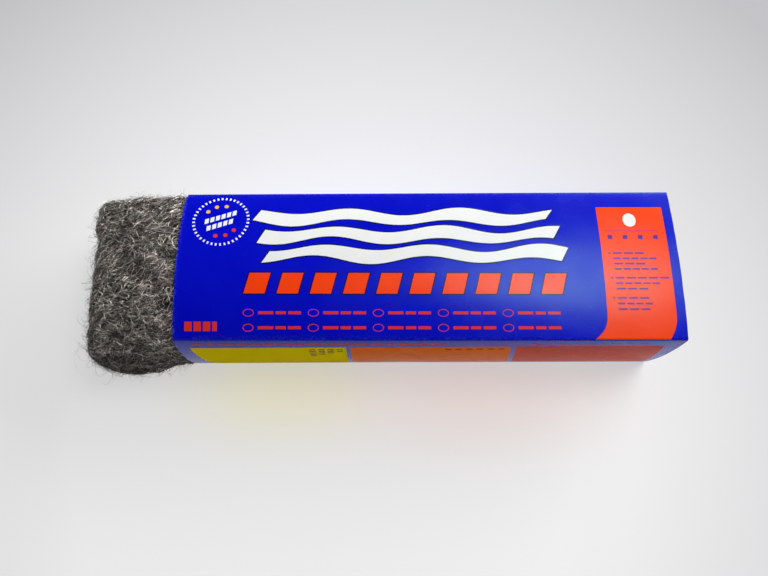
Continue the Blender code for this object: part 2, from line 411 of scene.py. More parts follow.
def sleeve_shell(look):
    """The folded card: the outer and the inner section carried along the sleeve's length.

    The far wall's lower fold turns in over the underside as the glued lap. The cut edge at each
    end wanders by a tenth of a millimetre, and the mouth's far corner is nipped back.
    """
    half = SLEEVE_WIDTH / 2
    under_edge = half - FOLD_RADIUS - LAP_SETBACK
    lap_edge = half - FOLD_RADIUS - LAP_WIDTH
    outer = arch(half, 0, CARD, SLEEVE_HEIGHT, FOLD_RADIUS)
    inner = arch(half - CARD, CARD, 2 * CARD, SLEEVE_HEIGHT - CARD, FOLD_RADIUS - CARD)
    lap_outer = np.array([(under_edge, CARD), (under_edge, 0)])
    lap_inner = np.array([(lap_edge, 2 * CARD), (lap_edge, CARD)])
    stations = np.linspace(MOUTH_X, BACK_X, look.sleeve_stations)
    stations = np.sort(np.concatenate([stations, MOUTH_X + np.array([0.4, 1.2, 2.4]) * MM]))
    rows, columns = len(stations), len(outer) + len(lap_outer)
    around = np.linspace(0, 1, columns)
    wander = np.abs(sum(size * np.sin(pace * around + start) for size, pace, start in CUT_WANDERS))
    at_mouth = np.clip(1 - (stations - MOUTH_X) / CUT_REACH, 0, 1)[:, None]
    at_back = np.clip(1 - (BACK_X - stations) / CUT_REACH, 0, 1)[:, None]
    surfaces = []
    for section, lap in ((outer, lap_outer), (inner, lap_inner)):
        y, z = bowed(stations[:, None], section[:, 0], section[:, 1])
        y = np.hstack([y, np.repeat(lap[None, :, 0], rows, axis=0)])
        z = np.hstack([z, np.repeat(lap[None, :, 1], rows, axis=0)])
        corner = np.hypot(*(np.vstack([section, lap]) - (half, SLEEVE_HEIGHT)).T)
        nip = CORNER_NIP * np.exp(-((corner / NIP_REACH) ** 2))
        x = stations[:, None] + at_mouth * (wander + nip) - at_back * wander
        surfaces.append(np.stack([x, y, z], axis=2))
    count = rows * columns
    outside = grid_faces(rows, columns)[:, ::-1]
    inside = grid_faces(rows, columns, count)
    ring = np.arange(columns)
    after = np.roll(ring, -1)
    last = (rows - 1) * columns
    mouth = np.column_stack([ring, after, after + count, ring + count])
    back = np.column_stack([after, ring, ring + count, after + count]) + last
    length_share = np.linspace(0, 1, rows)[:, None]
    unrolled = np.linspace(0, 1, columns + 1)[None, :]
    plan = np.stack(np.broadcast_arrays(length_share * 0.98 + 0.01, unrolled * 0.46), axis=2)
    edge_u = np.linspace(0.01, 0.99, columns + 1)
    band = np.stack([np.stack([edge_u, np.full_like(edge_u, v)], 1) for v in (0.96, 0.97)])
    uvs = [
        corners_of(plan + (0, 0.01))[:, ::-1],
        corners_of(plan + (0, 0.48)),
        corners_of(band),
        corners_of(band + (0, 0.02)),
    ]
    mouth_rub = MOUTH_RUB * np.exp(-(stations - MOUTH_X) / RUB_REACH)
    fold = fold_nearness(*np.vstack([outer, lap_outer]).T)
    fold = np.maximum(fold, mouth_rub[:, None]).ravel()
    points = np.concatenate([surface.reshape(-1, 3) for surface in surfaces])
    return mesh_piece(
        "sleeve_shell",
        points,
        [outside, inside, mouth, back],
        uvs,
        [ink("card_blue", look.blue, 0.15), raw_card(look.board)],
        (0, 1, 1, 1),
        {"fold": np.concatenate([fold, np.zeros(count)])},
        sharp=40,
    )


# Print: thin plates that lie on the card, one patch for each field or mark


def on_card(x, s, lift):
    """A point of the sleeve's outside from its place on the flat blank, raised by lift.

    s is the way across the blank from the middle of the top panel: straight to the fold, a quarter
    turn of the fold's radius, then straight down the side panel. Negative is the near side.
    """
    flat_end = SLEEVE_WIDTH / 2 - FOLD_RADIUS
    way = np.abs(s)
    turn = np.clip((way - flat_end) / FOLD_RADIUS, 0, math.pi / 2)
    down = np.maximum(way - flat_end - FOLD_RADIUS * math.pi / 2, 0)
    across = np.minimum(way, flat_end) + (FOLD_RADIUS + lift) * np.sin(turn)
    up = SLEEVE_HEIGHT - FOLD_RADIUS + (FOLD_RADIUS + lift) * np.cos(turn) - down
    y, z = bowed(x, np.sign(s) * across, up)
    return np.stack([x, y, z], axis=-1)


def blank_uv(x, s, under):
    """A print corner's place on the unrolled blank; undersides have the other half of the map."""
    u = (x - MOUTH_X) / SLEEVE_LENGTH * 0.96 + 0.02
    v = (s + SLEEVE_WIDTH / 2 + SLEEVE_HEIGHT) / (SLEEVE_WIDTH + 2 * SLEEVE_HEIGHT) * 0.46
    return np.stack([u, v + np.where(under, 0.51, 0.02)], axis=-1)


def samples(count, edge):
    """Even steps from 0 to 1, with one more close to each end for the plate's rim."""
    return np.concatenate([[0, edge], np.linspace(0, 1, count + 1)[1:-1], [1 - edge, 1]])


class Print:
    """Gathers one panel's printed plates, ink by ink, and joins them into one piece.

    raised is how many layers of ink a mark stands on, so that it lies over the one beneath.
    """

    proud = 0.035 * MM
    sunk = 0.02 * MM
    rim_width = 0.06 * MM

    def __init__(self, inks, gloss, matt=()):
        self.inks = inks
        self.gloss = {label: 0 if label in matt else gloss for label in inks}
        self.points, self.faces, self.uvs, self.slots = [], [], [], []
        self.count = 0

    def plate(self, name, x, s, raised=1.0, closed=False):
        """A closed plate over a grid of blank places: its rim is sunk in the card.

        closed means that the rows run round a ring, so only the columns have a rim.
        """
        cells = corners_of(np.stack([x, s], axis=2))
        first, second = cells[:, 2] - cells[:, 0], cells[:, 3] - cells[:, 1]
        if (first[:, 0] * second[:, 1] - first[:, 1] * second[:, 0]).sum() > 0:
            x, s = x[:, ::-1], s[:, ::-1]
        rim = np.zeros(x.shape, bool)
        rim[:, [0, -1]] = True
        if not closed:
            rim[[0, -1]] = True
        top = on_card(x, s, np.where(rim, -self.sunk, raised * self.proud))
        below = on_card(x, s, -2 * self.sunk)
        top_index = np.arange(x.size).reshape(x.shape)
        low_index = top_index.copy()
        low_index[~rim] = x.size + np.arange((~rim).sum())
        top_uv, low_uv = blank_uv(x, s, False), blank_uv(x, s, True)
        grids = [top_index + self.count, top_uv, low_index + self.count, low_uv]
        if closed:
            grids = [np.concatenate([grid, grid[:1]]) for grid in grids]
        top_faces, top_uvs, low_faces, low_uvs = map(corners_of, grids)
        self.points += [top.reshape(-1, 3), below[~rim]]
        self.faces += [top_faces, low_faces[:, ::-1]]
        self.uvs += [top_uvs, low_uvs[:, ::-1]]
        self.slots += [list(self.inks).index(name)] * 2
        self.count += x.size + int((~rim).sum())

    def field(self, name, left, right, high, low, raised=1.0, step=2.2 * MM):
        """A field from high to low on the blank, between a left and a right edge.

        Each edge is a number, or a function of the way across the blank.
        """
        tall = abs(high - low)
        down = samples(max(1, round(tall / step)), self.rim_width / tall)
        s = high + (low - high) * down
        start = left(s) if callable(left) else np.full_like(s, left)
        end = right(s) if callable(right) else np.full_like(s, right)
        wide = float(np.mean(end - start))
        along = samples(max(1, round(wide / (20 * MM))), self.rim_width / wide)
        x = start[:, None] + (end - start)[:, None] * along
        self.plate(name, x, np.repeat(s[:, None], len(along), axis=1), raised)

    def band(self, name, left, right, middle, thickness, slant=0.0, raised=1.0):
        """A band along the sleeve, whose middle and thickness are functions of x."""
        wide = right - left
        along = left + wide * samples(max(2, round(wide / (2 * MM))), self.rim_width / wide)
        across = samples(3, 0.02) - 0.5
        s = middle(along)[:, None] + thickness(along)[:, None] * across
        x = along[:, None] + slant * across[None, :]
        self.plate(name, x, s, raised)

    def ring(self, name, centre, outer, inner, turn=(0, 360)):
        """Part or all of an elliptic ring: the outer and inner half axes (x, s) as it turns."""
        whole = turn[1] - turn[0] == 360
        steps = max(3, round((turn[1] - turn[0]) / 15))
        share = np.linspace(0, 1, 24, endpoint=False) if whole else samples(steps, 0.04)
        angle = np.radians(turn[0] + (turn[1] - turn[0]) * share)[:, None]
        out = samples(1, 0.12)[None, :]
        x = centre[0] + np.cos(angle) * (inner[0] + (outer[0] - inner[0]) * out)
        s = centre[1] + np.sin(angle) * (inner[1] + (outer[1] - inner[1]) * out)
        self.plate(name, x, s, closed=whole)

    def spot(self, name, centre, radius, raised=1.0):
        """A disc: the square (u, v) drawn out to a circle, x = u sqrt(1 - v^2 / 2)."""
        u, v = np.meshgrid(*[2 * samples(5, 0.02) - 1] * 2, indexing="ij")
        x = centre[0] + radius[0] * u * np.sqrt(1 - v * v / 2)
        s = centre[1] + radius[1] * v * np.sqrt(1 - u * u / 2)
        self.plate(name, x, s, raised)

    def dashes(self, name, left, right, level, height, lengths, gap):
        """A run of short bars in the place of small words, their lengths taken in turn."""
        start, number = left, 0
        while start < right - gap:
            end = min(start + lengths[number % len(lengths)], right)
            self.field(name, start, end, level + height / 2, level - height / 2)
            start, number = end + gap, number + 1

    def piece(self, name):
        """The joined plates as one object, with one material for each ink."""
        materials = [
            ink(f"{name}_{label}", colour, gloss=self.gloss[label])
            for label, colour in self.inks.items()
        ]
        points = np.concatenate(self.points)
        return mesh_piece(
            name,
            points,
            self.faces,
            self.uvs,
            materials,
            self.slots,
            {"fold": np.zeros(len(points))},
            sharp=PRINT_RIM_ANGLE,
        )


def seal(sheet, centre, tilt):
    """The round mark at the mouth: a ring of ticks, two rows of blocks and six dots.

    The whole of it is turned by tilt, in degrees.
    """
    ticks = 40
    for number in range(ticks):
        start = 360 / ticks * number + tilt
        sheet.ring("white", centre, (14.5 * MM,) * 2, (13 * MM,) * 2, (start, start + 3.8))
    lean = math.tan(math.radians(tilt))
    pitch = 2.7 * MM
    thick = lambda x: np.full_like(x, 2.9 * MM)
    for level, blocks in ((2.3 * MM, 6), (-2.3 * MM, 5)):
        middle = lambda x, level=level: centre[1] + level + lean * (x - centre[0])
        for number in range(blocks):
            left = centre[0] + (number - blocks / 2) * pitch
            sheet.band("white", left, left + 2 * MM, middle, thick)
    reach = 9 * MM
    for turn in (-32, 0, 32):
        for side, name in ((1, "gold"), (-1, "red")):
            angle = math.radians(tilt + side * (90 + turn))
            spot = (centre[0] + reach * math.cos(angle), centre[1] + reach * math.sin(angle))
            sheet.spot(name, spot, (1.1 * MM, 1.1 * MM))


def wavy_bands(sheet, left, right, levels, thickness):
    """Waving white bands with dark edges across the middle of the top panel, one at each level."""
    for number, level in enumerate(levels):
        wave = lambda x, n=number, top=level: top + 1.9 * MM * np.sin(x / (8.6 * MM) + 0.8 * n)
        swell = lambda x, n=number: thickness * (1 + 0.16 * np.sin(x / (13 * MM) + 1.7 * n))
        rim = lambda x, inner=swell: inner(x) + 2 * PRINT_EDGE
        start, end = left + 3 * MM * number, right - 3 * MM * (2 - number)
        sheet.band("navy", start - PRINT_EDGE, end + PRINT_EDGE, wave, rim, 4 * MM)
        sheet.band("white", start, end, wave, swell, 4 * MM, 2)


def grade_panel(sheet):
    """The orange field at the back end, its foot swung towards the mouth, and what it holds."""
    left = lambda s: 86.4 * MM - 6.6 * MM * np.clip((-27 * MM - s) / (12.4 * MM), 0, 1) ** 2.6
    right = lambda s: 120.3 * MM - 4 * MM * np.clip((-28 * MM - s) / (11.4 * MM), 0, 1) ** 2
    fold = FOLD_RADIUS - SLEEVE_WIDTH / 2
    sheet.field("orange", left, right, 30.3 * MM, fold)
    sheet.field("orange", left, right, fold + 0.1 * MM, fold - 0.7 * MM, 1, 0.12 * MM)
    sheet.spot("white", (102.7 * MM, 22.8 * MM), (3.4 * MM, 3.9 * MM), 2)
    sheet.field("violet", 89.3 * MM, 116.6 * MM, 16.75 * MM, 16.45 * MM, 2)
    for number in range(4):
        middle = (91.6 + 7.7 * number) * MM
        sheet.field("violet", middle - 1.2 * MM, middle + 1.2 * MM, 14.4 * MM, 12.1 * MM, 2)
    paragraphs = ((4.4, (14.5, 20.5, 13.5, 18.5)), (-8.6, (24, 19, 14)), (-18.9, (14, 14, 14)))
    for top, rows in paragraphs:
        sheet.spot("violet", (90.4 * MM, top * MM), (0.5 * MM, 0.5 * MM), 2)
        for number, wide in enumerate(rows):
            level = (top - 2.8 * number) * MM
            start = 92 * MM
            while start < (92 + wide) * MM:
                end = start + (4.6 - number % 2) * MM
                sheet.field("violet", start, end, level + 0.45 * MM, level - 0.45 * MM, 2)
                start = end + 0.9 * MM


def top_print(look):
    """All that is printed on the top panel."""
    labels = ("white", "orange", "red", "gold", "violet", "navy")
    sheet = Print({label: getattr(look, label) for label in labels}, PRINT_GLOSS)
    wavy_bands(sheet, -87 * MM, 68 * MM, (24.6 * MM, 14.2 * MM, 3.8 * MM), 6.6 * MM)
    for number in range(10):
        left = (-91 + 16.2 * number) * MM
        for name, out, level in (("navy", PRINT_EDGE, 1), ("orange", 0, 2)):
            start = lambda s, x=left - out: x + 0.25 * (s + 17 * MM)
            end = lambda s, e=start, wide=10.4 * MM + 2 * out: e(s) + wide
            sheet.field(name, start, end, -6.4 * MM + out, -17 * MM - out, level)
    groups = 5
    pitch = 158 / groups * MM
    lengths = (7.5 * MM, 5 * MM, 6.2 * MM)
    for level in (-26.4 * MM, -33.6 * MM):
        for number in range(groups):
            left = -91 * MM + pitch * number
            sheet.ring("red", (left + 2.7 * MM, level), (2.7 * MM, 1.9 * MM), (2.3 * MM, 1.5 * MM))
            start, end = left + 7.4 * MM, left + pitch - 3 * MM
            sheet.dashes("red", start, end, level, 1.5 * MM, lengths, 1.1 * MM)
    sheet.dashes("red", -119.2 * MM, -103.4 * MM, -33 * MM, 4.6 * MM, (3.6 * MM,), 0.9 * MM)
    seal(sheet, (-104.9 * MM, 22.4 * MM), 20)
    grade_panel(sheet)
    return sheet.piece("top_print")


def side_print(look):
    """All that is printed on the near side panel: three fields of colour under a row of marks."""
    inks = {
        "yellow": look.yellow,
        "orange": look.side_orange,
        "red": look.side_red,
        "dark": look.dark,
    }
    sheet = Print(inks, SIDE_GLOSS, matt=("yellow",))
    flat_end = SLEEVE_WIDTH / 2 - FOLD_RADIUS + FOLD_RADIUS * math.pi / 2
    down = lambda z: -(flat_end + SLEEVE_HEIGHT - FOLD_RADIUS - z)
    high, low = down(46 * MM), down(4 * MM)
    leaning = lambda x: lambda s: x + 0.12 * (high - s)
    sheet.field("yellow", leaning(-119 * MM), -41.3 * MM, high, low)
    sheet.field("orange", -39.2 * MM, leaning(40.6 * MM), high, low)
    sheet.field("red", leaning(43 * MM), leaning(117 * MM), high, low)
    sheet.dashes("red", -117 * MM, 8 * MM, down(49.6 * MM), 1.5 * MM, (6 * MM, 4.2 * MM, 8 * MM), 1.3 * MM)
    sheet.dashes("red", 50 * MM, 112 * MM, down(49.6 * MM), 1.2 * MM, (5 * MM, 3.4 * MM), 2.4 * MM)
    for column in range(4):
        for row in range(5 - column):
            left, level = (-60 + 4.6 * column) * MM, down((43 - 2.4 * row) * MM)
            sheet.field("dark", left, left + 3.2 * MM, level + 0.5 * MM, level - 0.5 * MM, 2)
    for number in range(6):
        left = (8 + 5.4 * number) * MM
        sheet.field("dark", left, left + 3.2 * MM, down(43 * MM), down(41.8 * MM), 2)
    return sheet.piece("side_print")


# Steel wool


def batt(q):
    """Carries points near the batt's rounded box onto its surface: (points, outward normals).

    With d the way from the nearest point of an inner box, the surface is where
    (dx/rx)^2 + ((dy/ry)^6 + (dz/rz)^6)^(1/3) is 1, so d is divided by that sum's root. The normal
    is the sum's gradient.
    """
    radii = np.where(q[..., :1] < 0, FREE_RADII, BACK_RADII)
    low = np.array([FREE_X, -WOOL_HALF, WOOL_LOW]) + radii
    high = np.array([WOOL_BACK_X, WOOL_HALF, WOOL_HIGH]) - radii
    inner = np.clip(q, low, high)
    d = (q - inner) / radii
    sixth = np.abs(d[..., 1:]) ** EDGE_POWER
    around = sixth.sum(axis=-1, keepdims=True) + 1e-18
    size = np.sqrt(d[..., :1] ** 2 + around ** (2 / EDGE_POWER))
    d = d / np.maximum(size, 1e-6)
    steep = sixth / np.maximum(np.abs(d[..., 1:]) * size, 1e-6) * around ** (2 / EDGE_POWER - 1)
    slope = np.concatenate([d[..., :1] * size, np.sign(d[..., 1:]) * steep], axis=-1) / radii
    normal = slope / np.maximum(np.linalg.norm(slope, axis=-1, keepdims=True), 1e-9)
    return inner + d * radii, normal


def loosened(q):
    """Where the batt's points lie: bowed with the sleeve, and swollen and settled outside it.

    Past the mouth the top puffs up a little. The end drifts towards the near side by the square of
    the way out. Its near half is drawn in, but the foot of its near corner, tucked away from the
    near side, and its far corner stick out.
    """
    x, y, z = np.moveaxis(q, -1, 0)
    across = 2 * y / SLEEVE_WIDTH
    y, z = bowed(x, y, z)
    out = np.maximum(0, MOUTH_X - x)
    loose = smooth_step(out / SWELL_RUN)
    swell = np.where(y < 0, -NEAR_SWELL, FAR_SWELL) * np.minimum(np.abs(across), 1)
    new_y = y + loose * swell * np.exp(-(((z - SWELL_LEVEL) / SWELL_SPREAD) ** 2))
    share_up = (z - WOOL_LOW) / (SLEEVE_HEIGHT - WOOL_LOW)
    share_out = out / (MOUTH_X - FREE_X)
    puff = MOUTH_PUFF * np.exp(-(((out - PUFF_OUT) / PUFF_OUT) ** 2)) * loose
    settle = (TOP_SETTLE * share_out - puff) * share_up**2
    new_z = z - settle - loose * (WOOL_LOW - FLOOR_GAP) * (1 - share_up)
    pulled = END_PULL * (1 - smooth_step(across))
    near_foot = smooth_step((0.2 - across) / 1.05) * smooth_step((0.9 - share_up) / 0.6)
    stuck_out = END_FAR * np.exp(-(((across - 0.8) / 0.3) ** 2)) + END_FOOT * near_foot
    new_x = x + share_out * (pulled - stuck_out)
    aside = END_TUCK * near_foot * share_out**4 - END_DRIFT * share_out**2
    return np.stack([new_x, new_y + aside, new_z], axis=-1)


def tufts(q):
    """Height of the soft lumps that the strands gather in: the mean of three waves.

    Two of them are bent by a wave across their own, and the third runs aslant. They fade out just
    inside the mouth.
    """
    x, y, z = np.moveaxis(q, -1, 0) / MM * 2 * math.pi
    first = np.sin(x / 27 + 1.3 * np.sin(y / 38 + z / 44))
    second = np.sin(y / 14.5 + z / 18 + 1.1 * np.sin(x / 48))
    third = np.sin((x + y - z) / 19.5 + 2)
    out = smooth_step((MOUTH_X - q[..., 0]) / (8 * MM))
    return TUFT_SHOWN * TUFT_HEIGHT * (first + second + third) / 3 * out


def layer_grooves(q):
    """Depth of the folds between the batt's layers, which wander a little in height."""
    out = smooth_step((MOUTH_X - q[..., 0]) / (8 * MM))
    depth = np.zeros(q.shape[:-1])
    for layer in range(1, BATT_LAYERS):
        wander = LAYER_SWAY * np.sin(2 * math.pi * q[..., 1] / SLEEVE_WIDTH + layer)
        level = SLEEVE_HEIGHT * layer / BATT_LAYERS + wander
        depth += GROOVE_DEPTH * np.exp(-(((q[..., 2] - level) / GROOVE_WIDTH) ** 2))
    return depth * out


def raised(q, normal, height):
    """Points of the batt raised along their normals, kept off the card and the floor."""
    inside = smooth_step((q[..., 0] - MOUTH_X + 6 * MM) / (5 * MM))
    to_back = smooth_step((q[..., 0] - WOOL_BACK_X + 4 * MM) / (4 * MM))
    limit = 9 * MM - 9.15 * MM * inside * (1 - to_back)
    relief = tufts(loosened(q)) - layer_grooves(loosened(q))
    placed = loosened(q + normal * np.minimum(height + relief, limit)[..., None])
    placed[..., 2] = np.maximum(placed[..., 2], FLOOR_GAP)
    placed[..., 0] = np.minimum(placed[..., 0], BACK_X - 0.4 * MM)
    return placed


def core_mesh(look):
    """The batt's body under its strands, dark as painted shade: rings round the inner box, drawn in over
    both ends.
    """
    centre_z, half_z = (WOOL_LOW + WOOL_HIGH) / 2, (WOOL_HIGH - WOOL_LOW) / 2
    angle = np.linspace(0, 2 * math.pi, 168, endpoint=False)
    circle = np.stack([np.cos(angle), np.sin(angle)], axis=1)
    rounded = np.sign(circle) * np.abs(circle) ** (2 / EDGE_POWER)
    square = circle / np.abs(circle).max(axis=1, keepdims=True)
    loop = (0.35 * rounded + 0.65 * square) * (WOOL_HALF, half_z)
    free_turn = np.linspace(0, math.pi / 2, FREE_RINGS)
    back_turn = np.linspace(0, math.pi / 2, BACK_RINGS)[1:]
    stations = np.concatenate([
        np.full(FREE_RINGS, FREE_X - MM),
        FREE_X + FREE_RADII[0] * (1 - np.cos(free_turn)),
        np.linspace(FREE_X + FREE_RADII[0], MOUTH_X, 26)[1:],
        np.linspace(MOUTH_X, WOOL_BACK_X - BACK_RADII[0], 18)[1:],
        WOOL_BACK_X - BACK_RADII[0] * (1 - np.sin(back_turn)),
        np.full(BACK_RINGS, WOOL_BACK_X + MM),
    ])
    shrink = np.ones(len(stations))
    shrink[:FREE_RINGS] = np.linspace(0.02, 0.86, FREE_RINGS)
    shrink[-BACK_RINGS:] = np.linspace(0.9, 0.02, BACK_RINGS)
    q = np.empty((len(stations), len(angle), 3))
    q[..., 0] = stations[:, None]
    q[..., 1] = loop[:, 0] * shrink[:, None]
    q[..., 2] = centre_z + loop[:, 1] * shrink[:, None]
    surface, normal = batt(q)
    points = raised(surface, normal, np.full(surface.shape[:2], -look.core_depth))
    rows, columns = points.shape[:2]
    tips = np.stack([points[0].mean(axis=0), points[-1].mean(axis=0)])
    points = np.concatenate([points.reshape(-1, 3), tips])
    ring = np.arange(columns)
    after = np.roll(ring, -1)
    count = rows * columns
    back_row = count - columns
    first = np.column_stack([ring, after, np.full(columns, count)])
    last = np.column_stack([after + back_row, ring + back_row, np.full(columns, count + 1)])
    sides = grid_faces(rows, columns)[:, ::-1]
    u = np.linspace(0.02, 0.98, rows)[:, None]
    v = np.linspace(0.02, 0.9, columns + 1)[None, :]
    side_uv = corners_of(np.stack(np.broadcast_arrays(u, v), axis=2))[:, ::-1]
    turn = 2 * math.pi * np.stack([ring, ring + 1, ring + 0.5], axis=1) / columns
    reach = np.array([0.03, 0.03, 0])
    across, up = reach * np.cos(turn), 0.955 + reach * np.sin(turn)
    caps = [np.stack([middle + across, up], axis=2) for middle in (0.1, 0.3)]
    tone = {"tone": np.full(len(points), 0.5)}
    # painted shade: the core's near-black colour stands for the shade deep among the strands
    wool = steel("wool_shadow", look.core_dark, look.core_light, 0.2, 0.7)
    faces, uvs = [sides, first, last], [side_uv, *caps]
    return mesh_piece("wool_core", points, faces, uvs, [wool], (0, 0, 0), tone)


def turned(vector, normal, angle):
    """The vector turned about the normal it is square to."""
    return vector * np.cos(angle) + np.cross(normal, vector) * np.sin(angle)


def unit(vector):
    return vector / np.maximum(np.linalg.norm(vector, axis=-1, keepdims=True), 1e-9)


def tubes(path, normal, radius, tone, name, material):
    """Closed three-sided tubes along paths: path (strand, step, xyz), radius (strand, step).

    Each tube's section stands on the strand's own direction and the surface's normal, and both of
    its ends are capped.
    """
    strands, steps = path.shape[:2]
    along = unit(np.gradient(path, axis=1))
    side = unit(np.cross(along, normal))
    up = np.cross(side, along)
    angle = np.radians([90, 210, 330])
    ring = np.cos(angle)[:, None] * side[..., None, :] + np.sin(angle)[:, None] * up[..., None, :]
    points = path[..., None, :] + radius[..., None, None] * ring
    index = np.arange(strands * steps * 3).reshape(strands, steps, 3)
    index = np.concatenate([index, index[..., :1]], axis=2)
    quads = np.stack(
        [index[:, :-1, :-1], index[:, 1:, :-1], index[:, 1:, 1:], index[:, :-1, 1:]], axis=3
    ).reshape(-1, 4)
    caps = np.concatenate([index[:, 0, :3], index[:, -1, :3][:, ::-1]])
    cells = math.ceil(math.sqrt(strands))
    number = np.arange(strands)
    corner = np.stack([number % cells, number // cells], axis=1) / cells
    u = np.linspace(0.15, 0.85, steps)
    v = np.linspace(0.15, 0.85, 4)
    grid = np.stack(np.meshgrid(u, v, indexing="ij"), axis=2) / cells
    cell = np.stack([grid[:-1, :-1], grid[1:, :-1], grid[1:, 1:], grid[:-1, 1:]], axis=2)
    quad_uv = (corner[:, None, None] + cell.reshape(-1, 4, 2)).reshape(-1, 4, 2)
    cap_shape = np.array([(0.1, 0.1), (0.14, 0.1), (0.12, 0.14)]) / cells
    cap_uv = corner[:, None] + cap_shape
    cap_uv = np.concatenate([cap_uv, cap_uv + 0.75 / cells])
    tones = np.repeat(tone, steps * 3)
    uvs = [quad_uv, cap_uv]
    shape = points.reshape(-1, 3)
    return mesh_piece(name, shape, [quads, caps], uvs, [material], (0, 0), {"tone": tones})


def free_end_starts(rng, count, shares=STRAND_SHARES):
    """Places spread over the free end's top, near, far, end and under faces, by their shares."""
    low, high = (FREE_X, -WOOL_HALF, WOOL_LOW), (MOUTH_X + 3 * MM, WOOL_HALF, WOOL_HIGH)
    q = rng.uniform(low, high, (count, 3))
    face = rng.choice(len(shares), count, p=shares)
    planes = ((2, WOOL_HIGH), (1, -WOOL_HALF), (1, WOOL_HALF), (0, FREE_X), (2, WOOL_LOW))
    for number, (axis, level) in enumerate(planes):
        q[face == number, axis] = level
    return q


def back_starts(rng, count):
    """Places on the pad's other end, just inside the sleeve."""
    inset = 3 * MM
    low = (WOOL_BACK_X, -WOOL_HALF + inset, WOOL_LOW + inset)
    high = (WOOL_BACK_X, WOOL_HALF - inset, WOOL_HIGH - inset)
    return rng.uniform(low, high, (count, 3))


def first_heading(rng, q, normal, spread):
    """Strands lie along the batt, and over its ends from layer to layer, give or take a turn."""
    on_end = np.abs(normal[:, :1])
    main = np.where(on_end > 0.75, (0.0, 0.25, 1.0), (1.0, 0.0, 0.0))
    sway = 0.3 * np.sin(q[:, 0] / (9 * MM) + q[:, 1] / (7 * MM)) + 0.3 * np.sin(q[:, 2] / (6 * MM))
    heading = unit(main - normal * (main * normal).sum(axis=1, keepdims=True))
    heading = heading * rng.choice((-1.0, 1.0), len(q))[:, None]
    return turned(heading, normal, (sway + rng.normal(0, spread, len(q)))[:, None])


def wandering(rng, starts, steps, length, spread, curl):
    """Curly paths over the batt: each step turns the heading by the strand's own curl.

    Gives the flat-box points and normals, (strand, step, xyz).
    """
    q, normal = batt(starts)
    heading = first_heading(rng, q, normal, spread)
    bend = rng.normal(0, curl, len(q))
    wobble = rng.uniform(0.15, 0.5, len(q))
    phase = rng.uniform(0, 2 * math.pi, len(q))
    points, normals = [q], [normal]
    for step in range(1, steps):
        turn = bend + wobble * np.sin(phase + 1.3 * step)
        heading = turned(heading, normal, turn[:, None])
        q, normal = batt(q + heading * (length / (steps - 1))[:, None])
        heading = unit(heading - normal * (heading * normal).sum(axis=1, keepdims=True))
        points.append(q)
        normals.append(normal)
    return np.stack(points, axis=1), np.stack(normals, axis=1)


def strand_piece(name, look, starts, count, seed, levels, reach, bright):
    """Crimped strands in the batt's surface between two levels; deep and low ones are darker, as painted
    shade.

    Each rises and dips along a sine, and its ends turn down by the fourth power of the way from
    its middle. The levels are in millimetres, and reach scales a strand's length.
    """
    rng = np.random.default_rng(seed)
    steps = look.strand_steps
    length = rng.uniform(0.55, 1.3, count) * look.strand_length * reach
    q, normal = wandering(rng, starts(rng, count), steps, length, 0.4, 0.1)
    level = rng.uniform(*levels, count) * MM
    phase = rng.uniform(0, 2 * math.pi, count)[:, None]
    share = np.linspace(0, 1, steps)
    lift = CRIMP * np.sin(phase + share * rng.uniform(4, 10, count)[:, None])
    to_tip = np.abs(2 * share - 1) ** 4
    path = raised(q, normal, level[:, None] + lift - TIP_DIP * to_tip)
    width = rng.uniform(0.6, 1.5, count) * look.strand_width
    radius = width[:, None] / 2 * (1 - 0.55 * to_tip)
    # painted shade: deeper strands are darker, and so are low and near ones
    painted_depth_light = smooth_step((level / MM + 1.6) / 2.2)
    height = (path[..., 2] + 0.3 * path[..., 1]).mean(axis=1)
    painted_low_shade = 1 - LOW_SHADE * (1 - smooth_step(height / SHADE_REACH))
    tone = np.clip(bright * rng.gamma(0.9, 0.72, count) * (0.1 + painted_depth_light) * painted_low_shade, 0, 1)
    material = steel(name + "_steel", look.strand_dark, look.strand_light, 0.25, 0.4)
    return tubes(path, normal, radius, tone, name, material)


def whisker_piece(look, count, seed):
    """Loose ends that stand off the free end: they leave the surface and curve back along it."""
    rng = np.random.default_rng(seed)
    steps = 6
    length = rng.uniform(0.4, 1.2, count) * look.whisker_length
    starts = free_end_starts(rng, count, WHISKER_SHARES)
    q, normal = wandering(rng, starts, steps, length, 0.9, 0.3)
    share = np.linspace(0, 1, steps)
    stand = rng.gamma(1.5, 0.25, count)[:, None] * look.whisker_lift
    rise = np.sin(share * rng.uniform(1.2, 3.0, count)[:, None])
    path = raised(q, normal, -0.5 * MM + stand * rise)
    width = rng.uniform(0.55, 1.1, count) * look.whisker_width
    radius = width[:, None] / 2 * (1 - 0.7 * share)
    tone = np.clip(rng.gamma(0.9, 0.35, count), 0, 1)
    material = steel("whisker_steel", look.strand_dark, look.strand_light, 0.4, 0.4)
    return tubes(path, normal, radius, tone, "wool_whiskers", material)


# Sizes and colours that a user would change


def length_of(name, description, default):
    return FloatProperty(name=name, description=description, default=default, min=0, unit="LENGTH")


def colour_of(name, description, default):
    return FloatVectorProperty(
        name=name, description=description, default=default, size=3, min=0, max=1, subtype="COLOR"
    )


